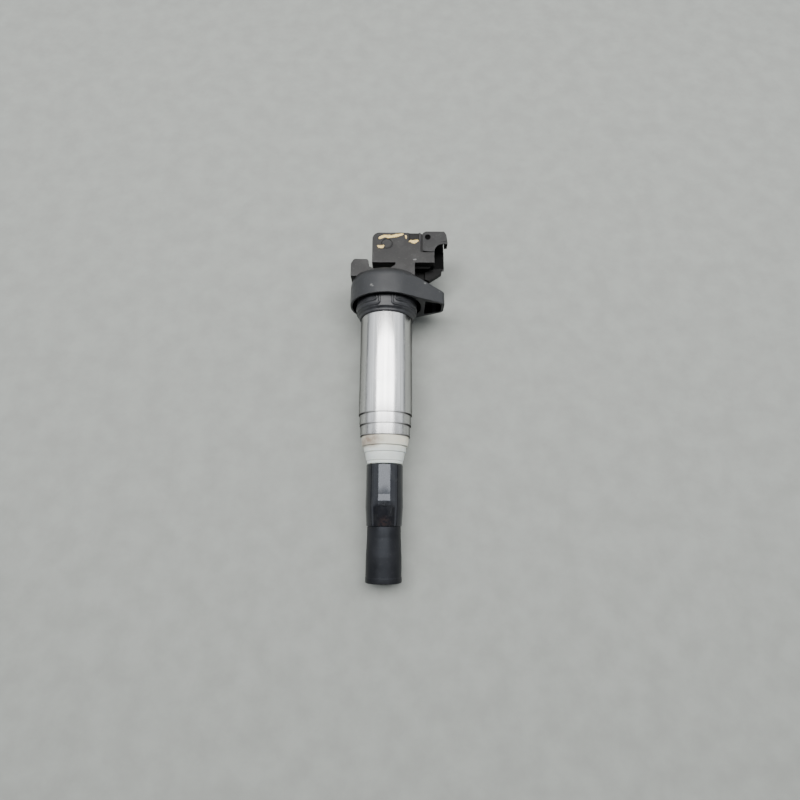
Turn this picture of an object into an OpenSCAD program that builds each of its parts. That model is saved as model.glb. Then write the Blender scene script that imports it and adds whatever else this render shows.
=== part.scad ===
// Pencil-type ignition coil, lying on its side.
// The coil axis is +Y: the boot mouth is at Y = 0 and the head is at the far end.
// +Z points up from the bench, +X towards the connector mouth. Millimetres.

/* [Plug boot] */
// Length of the rubber boot below the sleeve
boot_len = 23.8; // [20:0.1:30]
// Outer radius of the boot at its mouth
boot_mouth_r = 8.0; // [7.6:0.1:9]
// Outer radius of the boot at its upper end
boot_top_r = 7.5; // [7.2:0.1:7.8]
// Radius of the bore that grips the plug insulator
plug_bore_r = 5.0; // [4.6:0.1:5.4]
// Depth of the insulator bore
plug_bore_depth = 12; // [10:0.5:14]

/* [Sleeve] */
// Length of the rigid sleeve between boot and dome
sleeve_len = 27.1; // [24:0.1:34]
// Radius of the sleeve just above the boot
sleeve_low_r = 8.0; // [7.8:0.1:8.6]
// Radius of the sleeve at its widest ring
sleeve_mid_r = 8.5; // [8.2:0.1:9]
// Radius of the sleeve at its upper end
sleeve_top_r = 8.4; // [8:0.1:9]
// Width of the flat panel on the sleeve
panel_w = 6.2; // [4:0.2:8]
// Length of the flat panel on the sleeve
panel_len = 4.6; // [3:0.2:7]

/* [High-voltage dome] */
// Length of the stepped dome
dome_len = 12.8; // [10:0.1:16]
// Radius of the dome's widest ring
dome_top_r = 11.0; // [10.4:0.1:11.05]
// Radius of the dome's narrowest ring
dome_low_r = 8.1; // [7.6:0.1:9]

/* [Metal tube] */
// Outer radius of the outermost sheet
tube_r = 12.5; // [12.4:0.1:13.5]
// Thickness of each rolled sheet
sheet_t = 0.42; // [0.3:0.02:0.45]
// Length of tube between the inner sheet's lower edge and the seal
tube_len = 58; // [50:0.5:70]
// How far each inner sheet shows below the next
sheet_step = 5; // [3:0.1:7]
// Width of the slit along each sheet
slit_w = 1.2; // [0.8:0.1:3]

/* [Well seal] */
// Radius of the seal's lower lip
seal_lip_r = 12.9; // [12.8:0.1:13.4]
// Radius of the seal's collar
seal_r = 14.9; // [14.4:0.1:15.2]
// Length of the seal
seal_len = 12.4; // [11:0.1:13]
// Height of the ribs round the seal
seal_rib_h = 0.5; // [0.3:0.1:0.8]

/* [Head] */
// Outer radius of the round head
head_r = 18; // [17.5:0.5:20]
// Inner radius of the hanging skirt
skirt_in_r = 16.9; // [16.4:0.1:17.1]
// Height of the band round the head
band_h = 9.9; // [9:0.1:12]
// Reach of the ear from the coil axis
ear_reach = 28.4; // [27:0.2:32]
// Half the width of the ear's outer end
ear_half_w = 6.2; // [5.6:0.1:7]
// Thickness of the ear's outer end along the coil axis
ear_t = 6; // [5.6:0.1:7]
// Wall thickness round the ear's hollow
ear_wall = 1.4; // [1.2:0.1:2]

/* [Connector] */
// Distance from the boot mouth to the lever's far edge
overall_len = 168.4; // [167.6:0.2:169.4]
// Size of the connector body along the coil axis
conn_h = 16.7; // [16.3:0.1:17.1]
// Thickness of the connector body
conn_t = 10.2; // [9.8:0.2:11]
// Left edge of the connector body
conn_left_x = -7.5; // [-9:0.5:-7]
// Mouth of the socket on its near side
conn_mouth_x = 23.7; // [23.3:0.1:24.3]
// Wall thickness of the socket
conn_wall = 1.2; // [1:0.1:1.4]
// Corner radius of the connector body
conn_corner_r = 3.5; // [2:0.5:5]

/* [Lock lever] */
// Thickness of the lever's cheeks
cheek_t = 0.9; // [0.8:0.1:1.0]
// Radius of the stub pins that the lever turns on
pivot_r = 1.3; // [1:0.1:1.5]
// Tip of the lever's hook
hook_tip_x = 30.4; // [30:0.2:31.4]

/* [Coil] */
// Radius of the laminated core
core_r = 4.2; // [3.8:0.1:4.4]
// Number of steel strips in the core
core_strips = 9; // [5:2:13]
// Length of the laminated core
core_len = 48; // [40:1:50]
// Thickness of each end magnet
magnet_t = 3; // [2:0.5:4]
// Number of chambers on the secondary bobbin
chambers = 9; // [5:1:12]

/* [Contact] */
// Mean radius of the contact spring
spring_r = 2.25; // [2.1:0.05:2.4]
// Radius of the spring's wire
wire_r = 0.34; // [0.25:0.02:0.4]
// Turns of the contact spring
spring_turns = 11; // [8:1:14]

/* [Hidden] */
$fn = 64;

// Play between fixed pieces that sit inside one another
fit_gap = 0.05;
// Overshoot of a cutting tool past the face that it cuts
over = 1;

// Stations along the coil axis
sleeve_y = boot_len;
dome_y = sleeve_y + sleeve_len;
tube_y = dome_y + dome_len;
seal_y = tube_y + tube_len;
skirt_y = seal_y + 7.2;
sheet_top_y = skirt_y - 0.9;
ledge_y = seal_y + 12.8;
band_top_y = skirt_y + band_h;
shoulder_y = band_top_y + 3.7;
conn_top_y = overall_len - 0.7;
conn_y = conn_top_y - conn_h;

// Boot and sleeve
contact_bore_r = 3.4;
spigot_r = 5.8;
spigot_len = 6;
dome_spigot_r = 5.9;
dome_spigot_len = 8;
resistor_bore_r = 2.9;
panel_depth = 0.55;
panel_x = 0.4;

// Radii of the coil, from the metal tube inwards
sheet_pitch = sheet_t + fit_gap;
case_r = tube_r - 3 * sheet_pitch;
case_wall = 1.0;
case_in_r = case_r - case_wall;
bobbin_top_y = seal_y + 1.5;
bobbin_low_y = tube_y + 1.5;
primary_tube_r = 8.5;
primary_wire_r = 9.4;
bobbin_wall = 0.7;
secondary_tube_r = 5.5;
secondary_wire_r = 7.2;
secondary_flange_r = 7.6;
flange_t = 1.2;
chamber_wall = 0.6;
core_mid_y = (bobbin_top_y + bobbin_low_y) / 2;
magnet_y = core_len / 2 + fit_gap;
pad_t = 1;

// High-voltage end
terminal_plate_y = tube_y - 3.6;
resistor_y = dome_y - 13.4;
resistor_len = 12.4;
resistor_r = 2.5;

// Spring-loaded contact
cap_y = plug_bore_depth + 3;
cap_flange_t = 1.5;
cap_r = 3.05;
spring_low_y = cap_y + cap_flange_t + 2 * fit_gap;
spring_high_y = resistor_y - 2 * fit_gap;

// Head
head_bore_r = case_r + fit_gap;
potting_r = 10.8;
ear_corner_r = 3;
block_left_x = -17.4;
block_half_z = 10;
block_low_y = band_top_y + 2.2;
block_high_y = band_top_y + 11.4;
cavity_low_y = block_low_y + 1.2;
cavity_high_y = block_high_y - 1.4;
cavity_right_x = -10.4;
cavity_half_z = 8.6;
cover_t = 1.2;
recess_t = 0.6;
neck_left_x = 4.2;
neck_foot_x = 0.8;
neck_right_x = 13.9;
ear_root_y = band_top_y + 0.9;

// Socket and lever
socket_back_x = 11.5;
pivot_x = 20.4;
pivot_y = overall_len - 3.2;
cheek_gap = 0.2;
cheek_z = conn_t / 2 - cheek_t;
pocket_z = cheek_z - cheek_gap;
socket_half_z = pocket_z - 1;
pin_reach = 0.5;
cheek_left_x = pivot_x - 2.5;
cheek_low_y = overall_len - 11.2;
pocket_left_x = pivot_x - 3.5;
pocket_low_y = cheek_low_y - 0.25;
far_wall_x = 29;
far_wall_top_y = overall_len - 6.9;
hook_low_y = overall_len - 6.9;
hook_t = 1.5;
arc_r = hook_low_y - cheek_low_y;
arc_x = conn_mouth_x + arc_r;
bridge_x = 25.9;
bridge_t = 1.5;
groove_y = hook_low_y + 0.9;

// Terminals, the highest first
blade_w = 2.4;
blade_t = 0.7;
blade_tip_x = 18.5;
leg_end_y = ledge_y + 3.5;
blade_gap = 0.05;

// Turns a shape drawn along Z so that it lies along the coil axis
module along_axis(y = 0) {
    translate([0, y, 0])
        rotate([-90, 0, 0])
            children();
}

// Cylinder on the coil axis
module rod(y0, y1, r) {
    along_axis(y0)
        cylinder(h = y1 - y0, r = r);
}

// Tube on the coil axis
module ring(y0, y1, r_out, r_in) {
    difference() {
        rod(y0, y1, r_out);
        rod(y0 - over, y1 + over, r_in);
    }
}

// Box between two corners
module block(low, high) {
    translate(low)
        cube(high - low);
}

// Round body on the coil axis from a list of [radius, Y] points
module turned(points) {
    along_axis()
        rotate_extrude()
            polygon(points);
}

module plug_boot() {
    color([0.05, 0.05, 0.055])
        difference() {
            turned([
                [0, 0], [boot_mouth_r - 0.5, 0], [boot_mouth_r, 0.5], [boot_mouth_r, 2.2],
                [boot_mouth_r - 0.1, 2.6], [boot_mouth_r - 0.1, 11], [boot_top_r, 19],
                [boot_top_r, boot_len], [0, boot_len]
            ]);
            rod(-over, plug_bore_depth, plug_bore_r);
            rod(plug_bore_depth - over, boot_len, contact_bore_r);
            rod(boot_len - spigot_len - 0.1, boot_len + over, spigot_r + fit_gap);
        }
}

module boot_sleeve() {
    mid_y = sleeve_y + 9.5;
    color([0.03, 0.03, 0.035])
        difference() {
            turned([
                [0, sleeve_y - spigot_len], [spigot_r - 0.3, sleeve_y - spigot_len],
                [spigot_r, sleeve_y - spigot_len + 0.3], [spigot_r, sleeve_y],
                [sleeve_low_r - 0.3, sleeve_y], [sleeve_low_r, sleeve_y + 0.3],
                [sleeve_low_r + 0.1, sleeve_y + 2.5], [sleeve_mid_r, mid_y - 1.2],
                [sleeve_mid_r, mid_y + 1.2], [sleeve_top_r, mid_y + 4], [sleeve_top_r, dome_y - 0.4],
                [sleeve_top_r - 0.4, dome_y], [0, dome_y]
            ]);
            rod(0, resistor_y + 0.2, contact_bore_r);
            rod(resistor_y, dome_y, resistor_bore_r);
            rod(dome_y - dome_spigot_len - 0.1, dome_y + over, dome_spigot_r + fit_gap);
            block([panel_x - panel_w / 2, mid_y - 5.4, sleeve_low_r - panel_depth],
                  [panel_x + panel_w / 2, mid_y - 5.4 + panel_len, sleeve_mid_r + over]);
        }
}

// Rings of the dome, the widest first: where each starts along it, and its upper and lower radius,
// all as shares of the dome's length and taper
ring_start = [0, 0.36, 0.58, 0.88, 1];
ring_top = [1, 0.62, 0.38, 0.07];
ring_low = [0.88, 0.50, 0.14, 0];

function dome_r(share) = dome_low_r + share * (dome_top_r - dome_low_r);

function dome_ring(i) = [
    [dome_r(ring_top[i]), tube_y - ring_start[i] * dome_len],
    [dome_r(ring_low[i]), tube_y - ring_start[i + 1] * dome_len]
];

module coil_case() {
    color([0.86, 0.82, 0.72])
        difference() {
            turned(concat(
                [[0, ledge_y - fit_gap], [case_r, ledge_y - fit_gap], [case_r, tube_y]],
                [for (i = [0 : len(ring_top) - 1]) each dome_ring(i)],
                [[dome_spigot_r, dome_y], [dome_spigot_r, dome_y - dome_spigot_len + 0.4],
                 [dome_spigot_r - 0.4, dome_y - dome_spigot_len], [0, dome_y - dome_spigot_len]]
            ));
            rod(tube_y - 2, ledge_y + over, case_in_r);
            along_axis(terminal_plate_y)
                cylinder(h = 1.61, r1 = case_in_r - 1.8, r2 = case_in_r);
            rod(terminal_plate_y - 1, tube_y, 1.2);
            rod(0, dome_y - 0.8, resistor_bore_r);
            rod(0, tube_y, 1.1);
        }
}

// Slit sheet rolled into a tube
module yoke_sheet(index) {
    r_out = tube_r - index * sheet_pitch;
    low_y = tube_y + (2 - index) * sheet_step;
    difference() {
        ring(low_y, sheet_top_y, r_out, r_out - sheet_t);
        block([-slit_w / 2, low_y - over, -tube_r - over], [slit_w / 2, sheet_top_y + over, 0]);
    }
}

module yoke_outer() {
    color([0.70, 0.70, 0.71])
        yoke_sheet(0);
}

module yoke_middle() {
    color([0.66, 0.66, 0.67])
        yoke_sheet(1);
}

module yoke_inner() {
    color([0.62, 0.62, 0.63])
        yoke_sheet(2);
}

module case_potting() {
    top_y = seal_y + 9;
    low_y = terminal_plate_y + 1.7;
    color([0.16, 0.14, 0.11]) {
        difference() {
            rod(low_y, bobbin_low_y - fit_gap, case_in_r - fit_gap);
            rod(low_y - over, bobbin_low_y, 1.2);
        }
        ring(bobbin_low_y, top_y, case_in_r - fit_gap, primary_wire_r + 0.25);
    }
}

module primary_bobbin() {
    color([0.12, 0.12, 0.13]) {
        ring(bobbin_low_y, bobbin_top_y, primary_tube_r, primary_tube_r - bobbin_wall);
        ring(bobbin_low_y, bobbin_low_y + flange_t, primary_wire_r + 0.2, primary_tube_r - fit_gap);
        ring(bobbin_top_y - flange_t, bobbin_top_y, primary_wire_r + 0.2, primary_tube_r - fit_gap);
    }
}

module primary_winding() {
    color([0.72, 0.38, 0.20])
        ring(bobbin_low_y + flange_t + fit_gap, bobbin_top_y - flange_t - fit_gap,
             primary_wire_r, primary_tube_r + fit_gap);
}

// Start of a flange on the secondary bobbin
function flange_y(i) =
    bobbin_low_y + i * (bobbin_top_y - bobbin_low_y - chamber_wall) / chambers;

module secondary_bobbin() {
    color([0.80, 0.76, 0.66]) {
        ring(bobbin_low_y, bobbin_top_y, secondary_tube_r, secondary_tube_r - bobbin_wall);
        for (i = [0 : chambers])
            ring(flange_y(i), flange_y(i) + chamber_wall, secondary_flange_r, secondary_tube_r - fit_gap);
    }
}

module secondary_winding() {
    color([0.66, 0.30, 0.14])
        for (i = [0 : chambers - 1])
            ring(flange_y(i) + chamber_wall + fit_gap, flange_y(i + 1) - fit_gap,
                 secondary_wire_r, secondary_tube_r + fit_gap);
}

module core_sleeve() {
    color([0.10, 0.10, 0.11])
        ring(core_mid_y - core_len / 2 - magnet_t - pad_t, core_mid_y + core_len / 2 + magnet_t + pad_t,
             core_r + 0.45, core_r + 0.1);
}

module core_laminations() {
    stack_half = 0.92 * core_r;
    pitch = 2 * stack_half / core_strips;
    color([0.45, 0.46, 0.48])
        for (i = [0 : core_strips - 1]) {
            mid_z = -stack_half + (i + 0.5) * pitch;
            edge_z = abs(mid_z) + pitch / 2;
            half_w = sqrt(core_r * core_r - edge_z * edge_z);
            block([-half_w, core_mid_y - core_len / 2, mid_z - pitch / 2 + fit_gap / 2],
                  [half_w, core_mid_y + core_len / 2, mid_z + pitch / 2 - fit_gap / 2]);
        }
}

module upper_magnet() {
    color([0.30, 0.30, 0.32])
        rod(core_mid_y + magnet_y, core_mid_y + core_len / 2 + magnet_t, core_r);
}

module lower_magnet() {
    color([0.30, 0.30, 0.32])
        rod(core_mid_y - core_len / 2 - magnet_t, core_mid_y - magnet_y, core_r);
}

module core_pads() {
    end_y = core_len / 2 + magnet_t + fit_gap;
    color([0.20, 0.12, 0.10]) {
        rod(core_mid_y + end_y, core_mid_y + end_y + pad_t - fit_gap, core_r);
        rod(core_mid_y - end_y - pad_t + fit_gap, core_mid_y - end_y, core_r);
    }
}

module hv_terminal() {
    color([0.78, 0.62, 0.32]) {
        rod(terminal_plate_y + 0.5, terminal_plate_y + 1.3, 5);
        rod(resistor_y + resistor_len + fit_gap, terminal_plate_y + 0.6, 1);
    }
}

module resistor_body() {
    color([0.82, 0.80, 0.74])
        rod(resistor_y + 1.5, resistor_y + resistor_len - 1.5, resistor_r - 0.3);
}

// Cup that closes one end of the resistor
module resistor_cap(end_y, inner_y) {
    difference() {
        rod(min(end_y, inner_y), max(end_y, inner_y), resistor_r);
        rod(resistor_y + 1.5 - fit_gap, resistor_y + resistor_len - 1.5 + fit_gap,
            resistor_r - 0.3 + fit_gap);
    }
}

module resistor_caps() {
    color([0.76, 0.60, 0.30]) {
        resistor_cap(resistor_y, resistor_y + 3);
        resistor_cap(resistor_y + resistor_len, resistor_y + resistor_len - 3);
    }
}

module contact_cap() {
    color([0.78, 0.62, 0.32]) {
        rod(cap_y, cap_y + cap_flange_t, cap_r);
        rod(cap_y + over, cap_y + cap_flange_t + 2.5, spring_r - wire_r - 0.2);
        along_axis(cap_y - 0.6)
            cylinder(h = 0.6, r1 = cap_r - 1.2, r2 = cap_r - 0.6);
    }
}

// Spring wire: rings of points swept along a helix
spring_steps = 14 * spring_turns;
spring_sides = 8;
spring_span = spring_high_y - spring_low_y - 2 * wire_r;

function helix(i) =
    let (turn = 360 * spring_turns * i / spring_steps)
    [spring_r * cos(turn), spring_low_y + wire_r + spring_span * i / spring_steps, spring_r * sin(turn)];

function wire_ring(i) =
    let (turn = 360 * spring_turns * i / spring_steps, centre = helix(i))
    [for (k = [0 : spring_sides - 1])
        let (a = 360 * k / spring_sides)
        centre + wire_r * [cos(a) * cos(turn), sin(a), cos(a) * sin(turn)]];

module contact_spring() {
    points = [for (i = [0 : spring_steps]) each wire_ring(i)];
    last = spring_steps * spring_sides;
    sides = [
        for (i = [0 : spring_steps - 1])
            for (k = [0 : spring_sides - 1])
                let (a = i * spring_sides + k, b = i * spring_sides + (k + 1) % spring_sides)
                [a, b, b + spring_sides, a + spring_sides]
    ];
    ends = [
        [for (k = [spring_sides - 1 : -1 : 0]) k],
        [for (k = [0 : spring_sides - 1]) last + k]
    ];
    color([0.70, 0.71, 0.73])
        polyhedron(points, concat(sides, ends), convexity = 8);
}

// Raised rib round the seal, broken on its upper and lower sides
module seal_rib(y, r) {
    gap_half_w = 3;
    difference() {
        turned([[r - 1.2, y - 0.55], [r, y - 0.25], [r, y + 0.25], [r - 1.2, y + 0.55]]);
        block([-gap_half_w, y - over, -2 * tube_r], [gap_half_w, y + over, 2 * tube_r]);
    }
}

module well_seal() {
    color([0.09, 0.09, 0.10])
        difference() {
            union() {
                turned([
                    [0, seal_y], [seal_lip_r, seal_y], [seal_lip_r + 0.3, seal_y + 0.5],
                    [seal_lip_r + 0.5, seal_y + 1.4], [seal_r - 0.7, seal_y + 2.2],
                    [seal_r - 0.3, seal_y + 4.4], [seal_r, seal_y + 6.6], [seal_r, seal_y + seal_len],
                    [0, seal_y + seal_len]
                ]);
                seal_rib(seal_y + 3.2, seal_r - 0.4 + seal_rib_h);
                seal_rib(seal_y + 5.3, seal_r - 0.2 + seal_rib_h);
            }
            rod(seal_y - over, sheet_top_y, tube_r + fit_gap);
            rod(sheet_top_y - over, seal_y + seal_len + over, seal_lip_r + fit_gap);
        }
}

// Tangent angle between the head's circle and the round corner of the ear
ear_corner_x = ear_reach - ear_corner_r;
ear_corner_z = ear_half_w - ear_corner_r;
ear_angle = atan2(ear_corner_z, ear_corner_x)
    + acos((head_r - ear_corner_r) / norm([ear_corner_x, ear_corner_z]));

// Flat shape pushed along the coil axis, drawn in X and Z
module plate_xz(y0, y1) {
    translate([0, y1, 0])
        rotate([90, 0, 0])
            linear_extrude(height = y1 - y0)
                children();
}

// Ear seen along the coil axis, as tall as its root
module ear_outline() {
    c = cos(ear_angle);
    s = sin(ear_angle);
    corner = [ear_corner_x + ear_corner_r * c, ear_corner_z + ear_corner_r * s];
    plate_xz(skirt_y, ear_root_y)
        polygon([
            [0, head_r * s], [head_r * c, head_r * s], corner, [ear_reach, ear_corner_z],
            [ear_reach, -ear_corner_z], [corner[0], -corner[1]], [head_r * c, -head_r * s], [0, -head_r * s]
        ]);
    for (side = [-1, 1])
        translate([ear_corner_x, skirt_y, side * ear_corner_z])
            rotate([-90, 0, 0])
                cylinder(h = ear_root_y - skirt_y, r = ear_corner_r);
}

// Ear whose upper side slopes from the neck down to its end
module ear() {
    inner_x = neck_right_x - 6;
    wide_z = head_r;
    end_y = skirt_y + ear_t;
    narrow_z = conn_t / 2 + 2;
    intersection() {
        ear_outline();
        translate([0, 0, -wide_z])
            linear_extrude(height = 2 * wide_z)
                polygon([[0, skirt_y], [ear_reach + over, skirt_y], [ear_reach + over, end_y],
                         [ear_reach, end_y], [neck_right_x, ear_root_y], [inner_x, ear_root_y],
                         [0, band_top_y]]);
        rotate([90, 0, 90])
            linear_extrude(height = ear_reach + over)
                polygon([[skirt_y, -wide_z], [band_top_y, -wide_z], [ear_root_y, -narrow_z],
                         [ear_root_y, narrow_z], [band_top_y, wide_z], [skirt_y, wide_z]]);
    }
}

// Hollow in the ear, open towards the boot
module ear_hollow() {
    root_x = 18.8;
    tip_x = ear_reach - ear_wall;
    root_half = 7.4;
    tip_half = ear_half_w - ear_wall;
    plate_xz(skirt_y - over, skirt_y + ear_t - ear_wall)
        polygon([[root_x, root_half], [tip_x - 1, tip_half], [tip_x, tip_half - 1],
                 [tip_x, 1 - tip_half], [tip_x - 1, -tip_half], [root_x, -root_half]]);
}

// Rounded shoulder above the band
function shoulder_point(t) =
    [head_r - 3 + 3 * cos(t), band_top_y - 0.6 + (shoulder_y - band_top_y + 0.6) * sin(t)];

module head_round() {
    turned(concat(
        [[0, skirt_y], [head_r, skirt_y]],
        [for (t = [0 : 15 : 90]) shoulder_point(t)],
        [[0, shoulder_y]]
    ));
}

// Box beside the head that holds the driver
module driver_box() {
    translate([0, 0, -block_half_z])
        linear_extrude(height = 2 * block_half_z)
            polygon([
                [block_left_x, block_low_y], [block_left_x, block_high_y - 2.4],
                [block_left_x + 1.3, block_high_y - 0.3], [block_left_x + 2.4, block_high_y],
                [-9.6, block_high_y - 0.2], [-8.9, block_high_y - 0.8], [-8.7, block_high_y - 3.9],
                [-5.4, block_high_y - 5.5], [-5.4, block_low_y]
            ]);
}

// Neck between the round head and the connector body
module neck() {
    translate([0, 0, -conn_t / 2])
        linear_extrude(height = conn_t)
            polygon([
                [neck_foot_x - 3, shoulder_y - over], [neck_foot_x, conn_y - 3.4],
                [neck_left_x, conn_y - 0.9], [neck_left_x, conn_y + over],
                [neck_right_x, conn_y + over], [neck_right_x, shoulder_y - over]
            ]);
}

// Connector body with its rounded upper left corner
module connector_body() {
    left = conn_left_x + conn_corner_r;
    low_z = -conn_t / 2;
    high_z = conn_t / 2;
    block([left, conn_y, low_z], [conn_mouth_x, conn_top_y, high_z]);
    block([conn_left_x, conn_y, low_z], [left + over, conn_top_y - conn_corner_r, high_z]);
    translate([left, conn_top_y - conn_corner_r, low_z])
        cylinder(h = conn_t, r = conn_corner_r);
    block([conn_mouth_x - over, conn_y, -pocket_z], [far_wall_x, far_wall_top_y, -socket_half_z]);
}

// Latch lug, web and rail under the socket
module socket_lug() {
    low_z = -conn_t / 2;
    lug_t = 3.1;
    web_t = 1.6;
    rail_y = conn_y - 1.2;
    rail_low_z = -0.4;
    rail_high_z = 1.2;
    top_y = conn_y + 0.5;
    lug_x = 19.2;
    point = [21.3, conn_y - 6.4];
    bend = [23.1, conn_y - 5.3];
    end_x = 27.7;
    end_y = conn_y - 2.2;
    translate([0, 0, low_z]) {
        linear_extrude(height = lug_t)
            polygon([[lug_x, top_y], [lug_x, conn_y - 5.7], point, bend, [end_x, end_y], [end_x, top_y]]);
        linear_extrude(height = web_t)
            polygon([[neck_right_x - over, top_y], [neck_right_x - over, conn_y - 6], point, bend,
                     [end_x, end_y], [end_x, top_y]]);
    }
    block([neck_right_x - over, rail_y, rail_low_z], [conn_mouth_x - 2, top_y, rail_high_z]);
}

// One terminal: a blade in the socket and a leg down into the head
module terminal_shape(index, play) {
    blade_y = conn_y + conn_h / 2 + (1 - index) * 4.6;
    leg_x = 5.3 + 2.4 * index;
    block([leg_x - blade_t / 2 - play, blade_y - blade_t / 2 - play, -blade_w / 2 - play],
          [blade_tip_x, blade_y + blade_t / 2 + play, blade_w / 2 + play]);
    block([leg_x - blade_t / 2 - play, leg_end_y, -blade_w / 2 - play],
          [leg_x + blade_t / 2 + play, blade_y + blade_t / 2 + play, blade_w / 2 + play]);
}

module terminal_ground() {
    color([0.80, 0.80, 0.78])
        terminal_shape(0, 0);
}

module terminal_signal() {
    color([0.80, 0.80, 0.78])
        terminal_shape(1, 0);
}

module terminal_supply() {
    color([0.80, 0.80, 0.78])
        terminal_shape(2, 0);
}

// Space that a cheek turns in, round the stub pin
module lever_pocket() {
    difference() {
        block([pocket_left_x, pocket_low_y, pocket_z], [conn_mouth_x + over, conn_top_y + over, conn_t]);
        translate([pivot_x, pivot_y, 0])
            cylinder(h = pocket_z + pin_reach, r = pivot_r);
    }
}

module head_housing() {
    low_z = -conn_t / 2;
    high_z = conn_t / 2;
    color([0.16, 0.16, 0.17])
        difference() {
            union() {
                head_round();
                ear();
                driver_box();
                neck();
                connector_body();
                socket_lug();
            }
            // Skirt hollow round the seal and its spigot
            ring(skirt_y - over, ledge_y - 0.3, skirt_in_r, seal_lip_r);
            rod(skirt_y - over, sheet_top_y + 0.1, skirt_in_r);
            rod(skirt_y - over, ledge_y, head_bore_r);
            rod(ledge_y - over, shoulder_y - 1.5, potting_r);
            ear_hollow();
            // Driver compartment, its window and its passage to the coil
            block([block_left_x - over, cavity_low_y, -cavity_half_z],
                  [cavity_right_x, cavity_high_y, cavity_half_z]);
            block([-13, ledge_y + 0.5, -4], [cavity_right_x, cavity_low_y + over, 4]);
            // Socket
            block([socket_back_x, conn_y + conn_wall, -socket_half_z],
                  [far_wall_x + over, conn_top_y - conn_wall, socket_half_z]);
            // Pockets that hold the lever's cheeks, with a pin in each
            for (side = [0, 1])
                mirror([0, 0, side])
                    lever_pocket();
            // Hollow behind the connector's plain end
            block([conn_left_x + 1.5, conn_y + 1.5, low_z - over], [1.6, conn_top_y - 2.7, high_z - 1.6]);
            // Round and rectangular recesses in the near face
            translate([-0.2, conn_y + 10.6, high_z - recess_t])
                cylinder(h = over, r = 2.75);
            block([10.8, conn_top_y - 4.2, high_z - recess_t], [16, conn_top_y + over, high_z + over]);
            for (i = [0 : 2])
                terminal_shape(i, blade_gap);
        }
}

// Lower and left edges of a cheek, which keep clear of the pocket as the lever turns
cheek_back = [
    [conn_mouth_x - 3, cheek_low_y], [cheek_left_x, cheek_low_y + 0.4], [cheek_left_x, overall_len - 1.1],
    [cheek_left_x + 0.6, overall_len - 0.5], [cheek_left_x + 1.7, overall_len]
];
arc_points = [for (a = [90 : 10 : 180]) [arc_x + arc_r * cos(a), cheek_low_y + arc_r * sin(a)]];

// Front edge of the hook, from its top to its tip
hook_front = [
    [hook_tip_x - 1.7, overall_len], [hook_tip_x - 0.6, overall_len - 1.7],
    [hook_tip_x - 0.2, overall_len - 4.4], [hook_tip_x, hook_low_y]
];

module flat_xy(low_z, high_z) {
    translate([0, 0, low_z])
        linear_extrude(height = high_z - low_z)
            children();
}

module lock_lever() {
    outer_z = conn_t / 2;
    color([0.14, 0.14, 0.15])
        difference() {
            union() {
                // Near cheek, which ends in the hook
                flat_xy(cheek_z, outer_z)
                    polygon(concat(cheek_back, hook_front, arc_points));
                // Far cheek
                flat_xy(-outer_z, -cheek_z)
                    polygon(concat(cheek_back,
                        [[far_wall_x - 0.4, overall_len], [far_wall_x, overall_len - 0.4],
                         [far_wall_x, hook_low_y]],
                        arc_points));
                // Bridge over the mouth
                flat_xy(-outer_z, outer_z)
                    polygon([
                        [bridge_x, overall_len - bridge_t], [bridge_x, overall_len],
                        [far_wall_x - 0.4, overall_len], [far_wall_x, overall_len - 0.4],
                        [far_wall_x, overall_len - bridge_t]
                    ]);
                // Hook behind the plug's latch
                flat_xy(0, outer_z)
                    polygon(concat(hook_front,
                        [[hook_tip_x - hook_t, hook_low_y],
                         [hook_tip_x - hook_t, overall_len - bridge_t / 2],
                         [hook_tip_x - 2.4, overall_len]]));
            }
            translate([pivot_x, pivot_y, -outer_z - over])
                cylinder(h = 2 * (outer_z + over), r = pivot_r + fit_gap);
            // Groove along the hook's lower edge
            block([hook_tip_x - 3.4, groove_y, outer_z - 0.25],
                  [hook_tip_x - 0.5, groove_y + 0.3, outer_z + over]);
        }
}

module driver_cover() {
    color([0.13, 0.13, 0.14])
        block([block_left_x, cavity_low_y + fit_gap, fit_gap - cavity_half_z],
              [block_left_x + cover_t, cavity_high_y - fit_gap, cavity_half_z - fit_gap]);
}

// Circuit board, on edge in the driver compartment
board_x = -12.2;
board_t = 1.2;
module driver_board() {
    color([0.10, 0.32, 0.16])
        block([board_x, cavity_low_y + 0.3, -cavity_half_z + 0.4],
              [board_x + board_t, cavity_high_y - 0.3, cavity_half_z - 0.4]);
}

module driver_transistor() {
    color([0.08, 0.08, 0.08])
        block([board_x - 2.3, cavity_low_y + 0.8, -6], [board_x - fit_gap, cavity_high_y - 0.6, 1.2]);
}

module driver_capacitor() {
    color([0.62, 0.50, 0.36])
        block([board_x - 1.6, cavity_low_y + 2, 3.4], [board_x - fit_gap, cavity_low_y + 3.8, 6.6]);
}

module heat_spreader() {
    color([0.80, 0.45, 0.28])
        block([board_x - 3.2, cavity_low_y + 0.6, -7], [board_x - 2.3 - fit_gap, cavity_high_y - 0.4, 3]);
}

module head_potting() {
    low_y = ledge_y + fit_gap;
    color([0.15, 0.13, 0.10])
        difference() {
            union() {
                rod(low_y, shoulder_y - 1.5 - fit_gap, potting_r - fit_gap);
                block([-13 + fit_gap, ledge_y + 0.5 + fit_gap, -4 + fit_gap],
                      [cavity_right_x - fit_gap, cavity_low_y - fit_gap, 4 - fit_gap]);
            }
            for (i = [0 : 2])
                terminal_shape(i, blade_gap);
        }
}

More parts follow.
